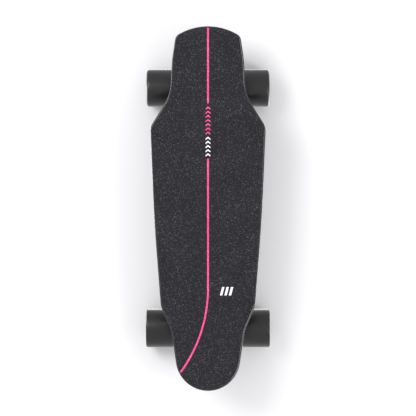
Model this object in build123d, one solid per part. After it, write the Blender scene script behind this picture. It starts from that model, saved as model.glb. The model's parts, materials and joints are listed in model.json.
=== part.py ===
from build123d import *
import os
from math import cos, radians, sin, sqrt, tan

# Electric skateboard, millimetres. The ground is Z = 0, +Y points to the nose, +X to the board's right.

# ---- driving dimensions: board ----
LENGTH = 700.0
DECK_TOP = 118.5            # height of the flat middle of the deck
TAPE = 1.0                  # grip tape thickness
PANEL = 5.0                 # deck panel thickness
CEILING = 3.5               # hull skin under the panel
RIM = 3.0                   # rim left round the panel
WALL = 6.0                  # side wall at nose and tail
NOSE_FLAT_END = 115.0       # where the top starts to drop to the nose
NOSE_R = 6574.0
TAIL_FLAT_END = -140.0      # where the top starts to rise to the tail
TAIL_R = 1131.0
FLOOR_HALF = 77.5           # half width of the flat bottom
FLOOR_NOSE = (168.0, 81.6)  # (Y, Z) of the bottom's front end
FLOOR_TAIL = (-160.0, 84.8)
MOUNT_Z = 103.0             # truck mounting face
POCKET_HALF = 56.0          # half width of the truck pockets
PLATFORM_HALF = 36.5
DISH_START = 222.0          # distance from the middle where the dishes open to the full width
FRONT_POCKET_Y = 163.0      # end walls of the truck pockets
REAR_POCKET_Y = -177.0
REACH = 352.0               # profiles run this far, just past both tips

# ---- driving dimensions: battery and electronics ----
BAY_HALF = 72.0
BAY_Y = (-165.0, 152.0)
BAY_Z = 87.5
CELL_D = 18.3
CELL_L = 65.2
CELL_PITCH = 19.4
CELL_ROWS = 10
CELL_Z = 98.5
PORT_XY = (12.8, -54.0)
BUTTON_XY = (-13.5, -54.0)
BUTTON_R = 5.2
SOCKET_R = 2.8              # barrel socket's bore
BARREL_R = 5.9              # body of the socket and of the button's bezel
FLANGE_R = 6.9
FLANGE_SEAT = 85.0
BOARD_T = 1.6
CONTROLLER_X = (-44.0, 40.0)
CONTROLLER_Y = (-152.0, -70.0)
FIN_PITCH = 6.5
FIN_COUNT = 13
BMS_X = (48.0, 69.0)
BMS_Y = (-150.0, -72.0)
LEAD_R = 1.5

# ---- driving dimensions: fasteners and cables ----
PANEL_SCREW_R = 1.5
PANEL_SCREW_HEAD_R = 3.2
INSERT_R = 3.5
INSERT_L = 6.0
BOLT_R = 2.5
BOLT_HEAD_R = 4.2
BOLT_CLEARANCE_R = 2.75
CLAMP_Y = -188.0
CLAMP_T = 1.5
CABLE_R = 2.5
CABLE_EXIT = (6.0, 100.1)   # (X, Z) where each motor cable leaves the battery bay
STRIPE_W = 3.3

# ---- driving dimensions: trucks ----
STEER_ANGLE = 50.0          # steering axis above the ground
BOLT_X = 41.3
BOLT_Y = 63.5
RISER = 3.0
BASE_T = 6.0
BASE_W = 52.0
BASE_L = 80.0
RING_T = 9.0                # hanger ring thickness
BUSHING_T = 14.0
BUSHING_R = 11.5
WASHER_T = 1.8
KINGPIN_R = 4.75
NUT_T = 9.0
PIVOT_R = 6.5
RUN = 0.05                  # running clearance on the radius

# ---- driving dimensions: wheels ----
FRONT_AXLE = (235.5, 36.5)
FRONT_WHEEL_R = 36.5
FRONT_WHEEL_X = (60.0, 120.0)
REAR_AXLE = (235.5, 37.5)   # distance behind the centre, height
REAR_WHEEL_R = 37.5
REAR_WHEEL_X = (67.0, 121.0)
BEARING = dict(inner=4.0, outer=11.0, width=7.0)
INNER_BEARING_X = 68.0
OUTER_BEARING_X = 103.0
REAR_BEARINGS = [(61.0, 6.0, 8.0, 13.0), (106.0, 7.0, 5.0, 11.0)]   # (X, width, bore radius, radius)
STACK_X = (74.0, 104.0)     # motor's laminated stack
MOTOR_SLOTS = 12

os.makedirs("parts", exist_ok=True)


def save(node, *solids):
    """Write one node as a STEP file."""
    flat = []
    for item in solids:
        flat.extend(item.solids())
    export_step(Compound(children=flat) if len(flat) > 1 else flat[0], f"parts/{node}.step")


def mirror_x(*solids):
    return [mirror(item, about=Plane.YZ) for item in solids]


def box(x0, x1, y0, y1, z0, z1):
    return Pos((x0 + x1) / 2, (y0 + y1) / 2, (z0 + z1) / 2) * Box(x1 - x0, y1 - y0, z1 - z0)


def rounded_box(half_x, y0, y1, z0, z1, corner):
    plan = Pos(0, (y0 + y1) / 2, z0) * RectangleRounded(2 * half_x, y1 - y0, corner)
    return extrude(plan, amount=z1 - z0, dir=(0, 0, 1))


def cylinder_z(x, y, z0, z1, radius):
    return Pos(x, y, (z0 + z1) / 2) * Cylinder(radius, z1 - z0)


def turned(points):
    """Solid of revolution about the X axis from (x, r) points."""
    profile = make_face(Polyline(*[(x, r) for x, r in points], close=True))
    return revolve(profile, axis=Axis.X)


def tube(x0, x1, inner, outer):
    return turned([(x0, inner), (x1, inner), (x1, outer), (x0, outer)])


def upright(face, z0=60.0, height=100.0):
    """Plan pushed straight up."""
    return extrude(Pos(0, 0, z0) * face, amount=height, dir=(0, 0, 1))


def countersunk(x, y, bottom, seat, top, shank, head):
    """Shank with a cone that widens from the seat to the head's radius, then runs straight to the top."""
    cone_top = seat + head - shank
    points = [(0, bottom), (shank, bottom), (shank, seat), (head, cone_top)]
    if top > cone_top:
        points.append((head, top))
    points.append((0, max(top, cone_top)))
    profile = Plane.XZ * make_face(Polyline(*points, close=True))
    return Pos(x, y, 0) * revolve(profile, axis=Axis.Z)


def routed(points, radius):
    """Round cable along straight runs joined by tangent arcs as large as the runs allow."""
    spots = [Vector(*p) for p in points]
    bends = []
    for a, b, c in zip(spots, spots[1:], spots[2:]):
        turn = (b - a).get_angle(c - b)
        bends.append(0.45 * min((b - a).length, (c - b).length) / tan(radians(turn / 2)))
    path = FilletPolyline(*spots, radius=bends)
    print("cable length", round(path.length, 1), "radii", [round(r, 1) for r in bends])
    section = Plane(origin=path @ 0, z_dir=path % 0) * Circle(radius)
    return sweep(section, path=path)


# ---- board outline and profiles ----
def outline():
    """Plan of the board: round tail, straight sides, shoulders, narrow nose."""
    points = [
        (0, -350), (53.4, -350), (70.6, -236), (90.8, -189), (103.5, -25),
        (111.2, 156.2), (72.6, 217.7), (69.3, 285), (62.5, 331.4), (53, 336.5),
    ]
    side = FilletPolyline(*points, radius=[62, 70, 45, 3500, 33, 95, 200, 16])
    nose = ThreePointArc((53, 336.5), (0, LENGTH / 2), (-53, 336.5))
    return make_face([*side.edges(), nose, *mirror(side, about=Plane.YZ).edges()])


def top_z(y):
    """Height of the deck's top surface along its length."""
    if y > NOSE_FLAT_END:
        return DECK_TOP - NOSE_R + sqrt(NOSE_R**2 - (y - NOSE_FLAT_END) ** 2)
    if y < TAIL_FLAT_END:
        return DECK_TOP + TAIL_R - sqrt(TAIL_R**2 - (y - TAIL_FLAT_END) ** 2)
    return DECK_TOP


def top_line(drop, reach=REACH):
    """Edges of the top surface, lowered by drop, from nose to tail in (Y, Z)."""
    def point(y):
        return (y, top_z(y) - drop)

    return [
        ThreePointArc(point(reach), point((reach + NOSE_FLAT_END) / 2), point(NOSE_FLAT_END)),
        Line(point(NOSE_FLAT_END), point(TAIL_FLAT_END)),
        ThreePointArc(point(TAIL_FLAT_END), point((TAIL_FLAT_END - reach) / 2), point(-reach)),
    ]


def side_solid(edges, half_width=150.0):
    """Closed (Y, Z) outline pushed out to both sides."""
    return extrude(Plane.YZ * make_face(edges), amount=half_width, both=True)


def band(upper, lower, reach=REACH):
    """Layer between two depths under the top surface."""
    high, low = top_line(upper, reach), top_line(lower, reach)
    ends = [Line(high[0] @ 0, low[0] @ 0), Line(high[2] @ 1, low[2] @ 1)]
    return side_solid([*high, *low, *ends])


def hull_block():
    """Outer body of the hull: outline cut to the side profile."""
    nose = Spline((352, 112.5), (345, 104.2), (326, 97.6), (288, 90.4), (240, 85.2), FLOOR_NOSE)
    tail = Spline(FLOOR_TAIL, (-200, 87.3), (-240, 92.3), (-275, 97.2), (-300, 104.2), (-328, 117),
                  (-352, 135.2))
    floor = Line(FLOOR_NOSE, FLOOR_TAIL)
    top = top_line(0)
    ends = [Line(top[0] @ 0, nose @ 0), Line(top[2] @ 1, tail @ 1)]
    profile = side_solid([*top, nose, floor, tail, *ends])
    return upright(outline()) & profile


def scoop():
    """Hollow along the right side, between the rim band and the flat bottom."""
    section = make_face([
        Line((FLOOR_HALF, 60), (FLOOR_HALF, 86)),
        ThreePointArc((FLOOR_HALF, 86), (85.5, 103), (106, 110.3)),
        Line((106, 110.3), (130, 111)), Line((130, 111), (130, 60)), Line((130, 60), (FLOOR_HALF, 60)),
    ])
    along = Pos(0, 230, 0) * extrude(Plane.XZ * section, amount=460, dir=(0, -1, 0))
    shape = make_face([
        Line((196, 60), (196, 84)), ThreePointArc((196, 84), (190, 102), (172, 111.5)),
        Line((172, 111.5), (-176, 111.5)), ThreePointArc((-176, 111.5), (-200, 103), (-207, 88)),
        Line((-207, 88), (-207, 60)), Line((-207, 60), (196, 60)),
    ])
    return along & extrude(Plane.YZ * shape, amount=140, dir=(1, 0, 0))


def dish(sign, pocket_y):
    """Open space under the nose (+1) or the tail (-1), with the truck pocket running into the hull."""
    overlap = 30
    inner = offset(outline(), amount=-WALL)
    end = upright(inner) & box(-100, 100, *sorted((sign * LENGTH / 2, sign * DISH_START)), 60, 160)
    pocket_ends = sorted((pocket_y, sign * (DISH_START + overlap)))
    pocket = rounded_box(POCKET_HALF, *pocket_ends, 60, 160, 20)
    depth = TAPE + PANEL + CEILING
    roof = side_solid([
        *top_line(depth),
        Line((REACH, top_z(REACH) - depth), (REACH, 50)),
        Line((REACH, 50), (-REACH, 50)),
        Line((-REACH, 50), (-REACH, top_z(-REACH) - depth)),
    ])
    return (end + pocket) & roof


SCREW_X = 80.0
PANEL_SCREWS = [(x, y) for x in (-SCREW_X, SCREW_X) for y in (-120, -30, 60, 145)]
PANEL_SCREWS += [(x, y) for x in (-45, 45) for y in (-171.5, 157.5)]
TRUCK_Y = {"front": 231.2, "rear": -241.0}
TRUCK_BOLTS = [
    (sx * BOLT_X / 2, centre + sy * BOLT_Y / 2)
    for centre in TRUCK_Y.values() for sx in (-1, 1) for sy in (-1, 1)
]


def panel_top(x, y):
    return top_z(y) - TAPE


def hull_shell():
    body = hull_block()
    body -= upright(offset(outline(), amount=-RIM)) & band(-6, TAPE + PANEL, 360)
    for side in (scoop(), mirror(scoop(), about=Plane.YZ)):
        body -= side
    body -= dish(1, FRONT_POCKET_Y)
    body -= dish(-1, REAR_POCKET_Y)
    inside = upright(offset(outline(), amount=-WALL + 1))
    under_panel = band(TAPE + PANEL, 60)
    for y0, y1 in ((183.5, 344), (-286, -182)):
        body += rounded_box(PLATFORM_HALF, y0, y1, MOUNT_Z, 130, 9) & inside & under_panel
    for sx in (-1, 1):
        for y0, y1 in ((165, 178), (-179, -187)):
            rib = make_face(Polyline((sx * 15, y0), (sx * 36, y0), (sx * 22, y1), close=True))
            body += upright(rib, 98, 30) & under_panel
    body -= rounded_box(BAY_HALF, *BAY_Y, BAY_Z, 140, 8)
    for x, y in (PORT_XY, BUTTON_XY):
        body -= cylinder_z(x, y, 80, BAY_Z + 1, BARREL_R + 0.1)
        body -= cylinder_z(x, y, 80, FLANGE_SEAT, FLANGE_R + 0.1)
    for x, y in TRUCK_BOLTS:
        body -= cylinder_z(x, y, MOUNT_Z - 1, MOUNT_Z + INSERT_L, INSERT_R)
    for x, y in PANEL_SCREWS:
        body -= cylinder_z(x, y, panel_top(x, y) - 13, 140, PANEL_SCREW_R)
    body -= cylinder_z(0, CLAMP_Y, MOUNT_Z - 1, MOUNT_Z + 7, PANEL_SCREW_R)
    cable_x, cable_z = CABLE_EXIT
    for x in (-cable_x, cable_x):
        hole = Plane(origin=(x, BAY_Y[0] + 5, cable_z), z_dir=(0, -1, 0)) * Circle(CABLE_R + 0.4)
        body -= extrude(hole, amount=20)
    return body


def stripe_face():
    """Pinstripe in plan: straight from the nose with a gap, then sweeping to the tail's left edge."""
    gap_low, gap_high = 94.7, 201.5
    bend_y = -155.0
    radius = 269.0
    turn = radians(37)
    pieces = [Pos(0, (REACH + gap_high) / 2) * Rectangle(STRIPE_W, REACH - gap_high),
              Pos(0, (gap_low + bend_y) / 2) * Rectangle(STRIPE_W, gap_low - bend_y)]
    rows = []
    for r in (radius - STRIPE_W / 2, radius + STRIPE_W / 2):
        rows.append([(-radius + r * cos(a), bend_y - r * sin(a)) for a in (0, turn / 2, turn)])
    inner, outer = rows
    sweep_face = make_face([
        ThreePointArc(*inner), Line(inner[2], outer[2]), ThreePointArc(*outer[::-1]), Line(outer[0], inner[0]),
    ])
    return pieces + [sweep_face]


def deck_top():
    """Panel, grip tape and the pinstripe set into the tape."""
    reach = upright(offset(outline(), amount=-RIM))
    panel = reach & band(TAPE, TAPE + PANEL)
    for x, y in PANEL_SCREWS:
        z = panel_top(x, y)
        shank, head = PANEL_SCREW_R + 0.2, PANEL_SCREW_HEAD_R + 0.3
        panel -= countersunk(x, y, z - PANEL - 1, z - 2.0, z + 1, shank, head)
    tape = reach & band(0, TAPE)
    stripe = []
    for face in stripe_face():
        strip = upright(face)
        stripe.append(strip & reach & band(0, TAPE))
        tape -= strip
    save("deck_panel", panel)
    save("grip_tape", tape)
    save("pinstripe", *stripe)


def deck_fasteners():
    screws = []
    for x, y in PANEL_SCREWS:
        z = panel_top(x, y) - 0.3
        screws.append(countersunk(x, y, z - 12, z - 1.7, z, PANEL_SCREW_R, PANEL_SCREW_HEAD_R))
    save("deck_screws", *screws)
    inserts, bolts = [], []
    for x, y in TRUCK_BOLTS:
        insert = cylinder_z(x, y, MOUNT_Z, MOUNT_Z + INSERT_L, INSERT_R)
        inserts.append(insert - cylinder_z(x, y, 90, 130, BOLT_R))
        seat = MOUNT_Z - RISER - BASE_T
        head = cylinder_z(x, y, seat - 3.2, seat, BOLT_HEAD_R) - extrude(
            Pos(x, y, seat - 3.2) * RegularPolygon(2.3, 6), amount=2)
        bolts.append(head + cylinder_z(x, y, seat, MOUNT_Z + INSERT_L - 0.5, BOLT_R))
    save("truck_inserts", *inserts)
    save("truck_screws", *bolts)
    pads = []
    for centre in TRUCK_Y.values():
        pad = rounded_box(BASE_W / 2 + 1, centre - BASE_L / 2 - 1, centre + BASE_L / 2 + 1,
                          MOUNT_Z - RISER, MOUNT_Z, 7)
        for x, y in TRUCK_BOLTS:
            pad -= cylinder_z(x, y, 90, 110, BOLT_CLEARANCE_R)
        pads.append(pad)
    save("riser_pads", *pads)


# ---- battery and electronics ----
def electronics():
    cells, links, holders = [], [], []
    first = BAY_Y[1] - 3.8 - CELL_D / 2
    rows = [first - CELL_PITCH * i for i in range(CELL_ROWS)]
    inner_end = 2.2
    for y in rows:
        for sx in (-1, 1):
            centre = sx * (inner_end + CELL_L / 2)
            body = Pos(centre, y, CELL_Z) * Rot(0, 90, 0) * Cylinder(CELL_D / 2, CELL_L)
            cells.append(fillet(body.edges().filter_by(GeomType.CIRCLE), 1.0))
    outer_end = inner_end + CELL_L
    for upper, lower in zip(rows[::2], rows[1::2]):
        for sx in (-1, 1):
            ends = sorted((sx * outer_end, sx * (outer_end + 0.3)))
            links.append(box(*ends, lower - 4, upper + 4, 95, 102))
    for x0, x1 in ((-2.0, 2.0), (outer_end + 0.5, outer_end + 2.7), (-outer_end - 2.7, -outer_end - 0.5)):
        holders.append(box(x0, x1, rows[-1] - 9, rows[0] + 9, BAY_Z + 0.3, 108.5))
    save("battery_cells", *cells)
    save("battery_links", *links)
    save("battery_holders", *holders)
    board_z = BAY_Z + 2.5
    bms = box(*BMS_X, *BMS_Y, board_z, board_z + BOARD_T)
    for y in (-140, -124, -108, -92):
        bms += box(52, 60, y, y + 9, board_z + BOARD_T, 94)
    save("bms_board", bms)
    base_top = 91.0
    fin_y = (CONTROLLER_Y[0] + 2, -120)
    case = box(*CONTROLLER_X, *CONTROLLER_Y, BAY_Z + 0.2, base_top)
    for i in range(FIN_COUNT):
        x = CONTROLLER_X[0] + 2 + FIN_PITCH * i
        case += box(x, x + 2.5, *fin_y, base_top, 97)
    save("controller_case", case)
    top = base_top + 0.2 + BOARD_T
    board = box(CONTROLLER_X[0] + 2, CONTROLLER_X[1] - 2, -116, -72, base_top + 0.2, top)
    capacitor_r = 5.0
    for x in (-32, -18, -4, 10, 24):
        board += Pos(x, -80, top + capacitor_r + 0.2) * Rot(90, 0, 0) * Cylinder(capacitor_r, 12)
        board += box(x - 2, x + 2, -85, -75, top - 0.3, top + 2.2)
    save("controller_board", board)
    leads = []
    for x in (-30, 32):
        route = [(x, -46.2, 104.5), (x, -56, 106), (x - 6, -66, 105), (x - 6, -71, 98),
                 (x - 6, -71, top + 0.1)]
        leads.append(routed(route, LEAD_R))
    save("battery_leads", *leads)


def bottom_fittings():
    x, y = PORT_XY
    face = 83.2
    port = cylinder_z(x, y, face, FLANGE_SEAT, FLANGE_R) + cylinder_z(x, y, FLANGE_SEAT, 98, BARREL_R)
    port -= cylinder_z(x, y, 80, 94, SOCKET_R)
    port -= Pos(x, y, face + 0.6) * Cone(SOCKET_R + 1.4, SOCKET_R, 1.2)
    save("charge_port", port)
    x, y = BUTTON_XY
    bezel = cylinder_z(x, y, face - 0.2, FLANGE_SEAT, FLANGE_R)
    bezel += cylinder_z(x, y, FLANGE_SEAT, 96, BARREL_R)
    bezel -= cylinder_z(x, y, 80, 94.5, BUTTON_R + RUN)
    save("power_button_bezel", bezel)
    button = cylinder_z(x, y, face - 1.0, 92.5, BUTTON_R)
    rims = button.faces().sort_by(Axis.Z)[0].edges()
    save("power_button", fillet(rims, 0.6))
    clamp_z = 95.6
    clamp = rounded_box(8, CLAMP_Y - 5, CLAMP_Y + 5, clamp_z, clamp_z + CLAMP_T, 1.5)
    clamp += box(-1.9, 1.9, CLAMP_Y - 4, CLAMP_Y + 4, clamp_z + CLAMP_T, MOUNT_Z)
    clamp -= cylinder_z(0, CLAMP_Y, 90, 110, PANEL_SCREW_R)
    save("cable_clamp", clamp)
    head_z = clamp_z - 1.4
    screw = cylinder_z(0, CLAMP_Y, head_z, clamp_z, 2.7) - extrude(
        Pos(0, CLAMP_Y, head_z) * RegularPolygon(1.3, 6), amount=1)
    save("cable_clamp_screw", screw + cylinder_z(0, CLAMP_Y, clamp_z, MOUNT_Z + 6, PANEL_SCREW_R))
    cable_x, cable_z = CABLE_EXIT
    route = [(-cable_x, -160, cable_z), (-cable_x, -184, cable_z), (-22, -190, 100), (-34, -197, 97),
             (-37, -210, 86), (-31, -222, 68), (-24, -229, 53)]
    left = routed(route, CABLE_R)
    save("left_motor_cable", left)
    save("right_motor_cable", *mirror_x(left))


# ---- trucks ----
class Truck:
    """Reverse-kingpin truck drawn towards +Y; the rear one is turned to face the tail.

    Distances along the steering axis are 'up', towards the board; distances along the kingpin
    are 'out', towards its nut. Both start at the centre of the hanger's ring.
    """

    def __init__(self, end, ring, axle, plate_y, beam, beam_half, arm_foot):
        self.end, self.ring, self.axle, self.plate_y = end, ring, axle, plate_y
        self.beam, self.beam_half, self.arm_foot = beam, beam_half, arm_foot
        angle = radians(STEER_ANGLE)
        self.up = Vector(0, cos(angle), sin(angle))
        self.out = Vector(0, sin(angle), -cos(angle))

    def at(self, up=0.0, out=0.0):
        return Vector(0, *self.ring) + self.up * up + self.out * out

    def round_up(self, start, stop, radius):
        """Cylinder along the steering axis."""
        return extrude(Plane(origin=self.at(up=start), z_dir=self.up) * Circle(radius), amount=stop - start)

    def round_out(self, start, stop, radius):
        """Cylinder along the kingpin."""
        return extrude(Plane(origin=self.at(out=start), z_dir=self.out) * Circle(radius), amount=stop - start)

    def place(self, solid):
        return solid if self.end == "front" else Rot(0, 0, 180) * solid

    def side_plate(self, points, half_width):
        return extrude(Plane.YZ * make_face(Polyline(*points, close=True)), amount=half_width, both=True)


SEAT = RING_T / 2 + BUSHING_T + WASHER_T
CUP_UP = (37.0, 48.5)
FRONT = Truck(
    "front", ring=(240.8, 55.5), axle=FRONT_AXLE, plate_y=TRUCK_Y["front"],
    beam=[(-8.4, -4), (-5.5, -9), (8, -9), (12.2, -4), (12.2, 4), (8, 9.5), (-5.5, 9.5), (-8.4, 4)],
    beam_half=58.5, arm_foot=27.5,
)
REAR = Truck(
    "rear", ring=(246.0, 56.5), axle=REAR_AXLE, plate_y=-TRUCK_Y["rear"],
    beam=[(-12.1, -5), (3.5, -13), (16.5, -6.5), (18.4, -2), (18.4, 3), (9, 12), (-7, 12), (-12.1, 7)],
    beam_half=50.0, arm_foot=25.5,
)


def baseplate(truck):
    top = MOUNT_Z - RISER
    y0, y1 = truck.plate_y - BASE_L / 2, truck.plate_y + BASE_L / 2
    plate = rounded_box(BASE_W / 2, y0, y1, top - BASE_T, top, 6)
    seat_low, seat_high = truck.at(up=-12.0, out=-SEAT), truck.at(up=14, out=-SEAT)
    boss = truck.side_plate([
        (seat_low.Y, seat_low.Z), (seat_high.Y, seat_high.Z), (seat_high.Y + 8, top - 1),
        (y0 + 3, top - 1), (y0 + 5, top - 18), (seat_low.Y - 10, seat_low.Z + 3),
    ], 8.0)
    boss += truck.round_out(-SEAT - 26, -SEAT, 12.0)
    housing = truck.round_up(CUP_UP[0] - 0.5, 72, 10.5)
    web = truck.side_plate([
        (seat_high.Y + 4, top - 1), (truck.at(up=60).Y, top - 1), (truck.at(up=44).Y, truck.at(up=44).Z)], 4.0)
    body = plate + boss + housing + web
    body &= box(-60, 60, 150, 320, 20, top)
    for sx in (-1, 1):
        slot = box(*sorted((sx * 9.2, sx * 14.5)), y0 + 4, y0 + 26, top - BASE_T - 1, top - 3)
        body -= slot
        for sy in (-1, 1):
            body -= cylinder_z(sx * BOLT_X / 2, truck.plate_y + sy * BOLT_Y / 2, top - 20, top + 1, 2.75)
    body -= truck.round_up(CUP_UP[0] - 5, CUP_UP[1], 8.5)
    body -= truck.round_out(-60, 0, KINGPIN_R)
    body -= truck.round_out(-75, -SEAT - 18, 8.6)
    save(f"{truck.end}_baseplate", truck.place(body))


def hanger(truck):
    y, z = truck.axle
    section = [(y + dy, z + dz) for dy, dz in truck.beam]
    beam = truck.side_plate(section, truck.beam_half)
    rims = [e for e in beam.edges() if abs(abs(e.center().X) - truck.beam_half) < 0.01]
    body = chamfer(rims, 1.2)
    body += truck.round_out(-RING_T / 2, RING_T / 2, 15.0)
    foot = Vector(0, y + 8, z + 5)
    tip = truck.at(up=33.0)
    rise = tip - foot
    plane = Plane(origin=foot, x_dir=(1, 0, 0), z_dir=Vector(1, 0, 0).cross(rise))
    reach = rise.length
    wide, slim = truck.arm_foot + 3.2, truck.arm_foot - 3.2
    frame = make_face(Polyline((-wide, 0), (-9, reach), (9, reach), (wide, 0), close=True))
    hole = make_face(Polyline((-slim, -2), (-3.0, reach - 5), (3.0, reach - 5), (slim, -2), close=True))
    body += extrude(plane * (frame - hole), amount=4.5, both=True)
    body += truck.round_up(27.5, CUP_UP[0] - 1.0, 9.0)
    body += truck.round_up(30, CUP_UP[1] - 2.0, PIVOT_R)
    half = RING_T / 2
    body -= truck.round_out(-half - 1, half + 1, 8.0)
    body -= truck.round_out(-half - 30, -half, 12.4)
    flare = Plane(origin=truck.at(out=half), z_dir=truck.out)
    body -= flare * Pos(0, 0, 10) * Cone(12.0, 18.2, 20)
    body -= truck.round_out(half + 20, half + 45, 18.2)
    return body


def bushings(truck):
    half = RING_T / 2
    for name, start, sign in (("bottom", half, 1), ("top", -half, -1)):
        ring = truck.round_out(*sorted((start, start + sign * BUSHING_T)), BUSHING_R)
        ring = fillet(ring.edges().filter_by(GeomType.CIRCLE), 1.2)
        ring -= truck.round_out(-40, 40, KINGPIN_R)
        save(f"{truck.end}_bushing_{name}", truck.place(ring))


def kingpin_parts():
    pins, nuts, washers, cups = [], [], [], []
    for truck in (FRONT, REAR):
        pin = truck.round_out(-SEAT - 18, SEAT + NUT_T + 2.5, KINGPIN_R)
        head = extrude(Plane(origin=truck.at(out=-SEAT - 24), z_dir=truck.out) * RegularPolygon(7.5, 6),
                       amount=6)
        pins.append(truck.place(pin + head))
        hexagon = RegularPolygon(8.6, 6, major_radius=False)
        nut = extrude(Plane(origin=truck.at(out=SEAT), z_dir=truck.out) * hexagon, amount=NUT_T)
        nut &= truck.round_out(SEAT, SEAT + NUT_T, 9.5)
        nuts.append(truck.place(nut - truck.round_out(0, 60, KINGPIN_R)))
        for start in (SEAT - WASHER_T, -SEAT):
            disc = truck.round_out(start, start + WASHER_T, BUSHING_R)
            washers.append(truck.place(disc - truck.round_out(-60, 60, KINGPIN_R)))
        cup = truck.round_up(*CUP_UP, 8.5) - truck.round_up(CUP_UP[0] - 1, CUP_UP[1] - 1.5, PIVOT_R + RUN)
        cups.append(truck.place(cup))
    save("kingpins", *pins)
    save("kingpin_nuts", *nuts)
    save("bushing_washers", *washers)
    save("pivot_cups", *cups)


def on_axle(axle, sign, solid):
    """Place a part turned about the X axis on an axle; sign is +1 at the nose end."""
    return Pos(0, sign * axle[0], axle[1]) * solid


# ---- front axle and wheels ----
def bearing_rings(x0, width, bore, outside):
    """Inner and outer halves of a shielded ball bearing, as solids about the X axis."""
    mid = (bore + outside) / 2
    inner = tube(x0, x0 + width, bore, mid - 1.6)
    outer = turned([
        (x0, outside), (x0 + width, outside), (x0 + width, mid + 1.6), (x0 + width - 0.6, mid + 1.6),
        (x0 + width - 0.6, mid - 1.5), (x0 + 0.6, mid - 1.5), (x0 + 0.6, mid + 1.6), (x0, mid + 1.6),
    ])
    return inner, outer


def front_axle_parts():
    body = hanger(FRONT)
    y, z = FRONT_AXLE
    neck = INNER_BEARING_X - 0.8
    for sx in (-1, 1):
        body += on_axle(FRONT_AXLE, 1, tube(*sorted((sx * (FRONT.beam_half - 2), sx * neck)), 4.0, 6.0))
    body -= on_axle(FRONT_AXLE, 1, tube(-100, 100, 0, 4.0))
    save("front_hanger", body)
    save("front_axle", on_axle(FRONT_AXLE, 1, tube(-113, 113, 0, 4.0)))
    nuts, discs = [], []
    for sx in (-1, 1):
        outside = OUTER_BEARING_X
        hexagon = Plane(origin=(sx * (outside + 0.8), y, z), z_dir=(sx, 0, 0)) * RegularPolygon(
            6.4, 6, major_radius=False)
        nut = extrude(hexagon, amount=7) - on_axle(FRONT_AXLE, 1, tube(-120, 120, 0, 4.0))
        nuts.append(nut)
        for x in (outside, neck):
            discs.append(on_axle(FRONT_AXLE, 1, tube(*sorted((sx * x, sx * (x + 0.8))), 4.0, 5.6)))
    save("front_axle_nuts", *nuts)
    save("front_speed_washers", *discs)
    inner_rings = []
    for x in (INNER_BEARING_X, OUTER_BEARING_X - BEARING["width"]):
        ring, _ = bearing_rings(x, BEARING["width"], BEARING["inner"], BEARING["outer"])
        inner_rings += [ring, mirror(ring, about=Plane.YZ)]
    save("front_bearing_inners", *[on_axle(FRONT_AXLE, 1, ring) for ring in inner_rings])


def front_wheels():
    x_in, x_out = FRONT_WHEEL_X
    r = FRONT_WHEEL_R
    lip = 30.0
    seat = 24.0
    out_slope = (OUTER_BEARING_X - (x_out - 1)) / (11 - lip)
    in_slope = (INNER_BEARING_X - (x_in + 1)) / (11 - lip)

    def bowl_out(radius):
        return x_out - 1 + out_slope * (radius - lip)

    def bowl_in(radius):
        return x_in + 1 + in_slope * (radius - lip)

    tyre = turned([(x_in + 1, lip), (x_in, lip + 1), (x_in, r), (x_out, r), (x_out, lip + 1), (x_out - 1, lip),
                   (bowl_out(seat), seat), (bowl_in(seat), seat)])
    shoulders = [e for e in tyre.edges().filter_by(GeomType.CIRCLE) if abs(e.radius - r) < 0.01]
    tyre = fillet(shoulders, 4.0)
    core = turned([(bowl_in(seat), seat), (bowl_out(seat), seat), (OUTER_BEARING_X, 11),
                   (OUTER_BEARING_X - 7, 11), (OUTER_BEARING_X - 7, 9.5), (INNER_BEARING_X + 7, 9.5),
                   (INNER_BEARING_X + 7, 11), (INNER_BEARING_X, 11)])
    races = []
    for x in (INNER_BEARING_X, OUTER_BEARING_X - BEARING["width"]):
        races.append(bearing_rings(x, BEARING["width"], BEARING["inner"], BEARING["outer"])[1])
    for name, flip in (("right", False), ("left", True)):
        for node, solids in (("tyre", [tyre]), ("core", [core]), ("bearing_outers", races)):
            shown = mirror_x(*solids) if flip else solids
            save(f"front_{name}_{node}", *[on_axle(FRONT_AXLE, 1, s) for s in shown])


# ---- rear axle and hub motors ----
def rear_axle_parts():
    body = REAR.place(hanger(REAR))
    body -= on_axle(REAR_AXLE, -1, tube(-100, 100, 0, 6.0))
    save("rear_hanger", body)
    half = REAR.beam_half
    shaft = turned([(-114, 0), (-114, 5), (-105, 5), (-105, 6), (-72, 6), (-72, 8), (-half, 8), (-half, 6),
                    (half, 6), (half, 8), (72, 8), (72, 6), (105, 6), (105, 5), (114, 5), (114, 0)])
    save("rear_axle", on_axle(REAR_AXLE, -1, shaft))
    collar = tube(half + 0.2, half + 3.9, 8.0, 14.0)
    collar = chamfer([e for e in collar.edges().filter_by(GeomType.CIRCLE) if e.radius > 13], 0.5)
    save("axle_collars", *[on_axle(REAR_AXLE, -1, c) for c in (collar, *mirror_x(collar))])
    core = tube(*STACK_X, 6.0, 13.0)
    coils = []
    for i in range(MOTOR_SLOTS):
        spot = Rot(360 / MOTOR_SLOTS * i, 0, 0)
        core += spot * box(*STACK_X, -2, 2, 12.5, 22.5)
        core += spot * (box(*STACK_X, -5.2, 5.2, 22, 25.4) & tube(*STACK_X, 20, 25.4))
        coil = box(STACK_X[0] - 2, STACK_X[1] + 2, -4.0, 4.0, 14.8, 21.5) - box(*STACK_X, -2, 2, 10, 25)
        coils.append(spot * coil)
    save("stators", *[on_axle(REAR_AXLE, -1, s) for s in (core, *mirror_x(core))])
    save("stator_windings", *[on_axle(REAR_AXLE, -1, s) for c in coils for s in (c, *mirror_x(c))])
    inner_rings = []
    for x0, width, bore, outside in REAR_BEARINGS:
        ring, _ = bearing_rings(x0, width, bore, outside)
        inner_rings += [ring, *mirror_x(ring)]
    save("rear_bearing_inners", *[on_axle(REAR_AXLE, -1, ring) for ring in inner_rings])


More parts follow.
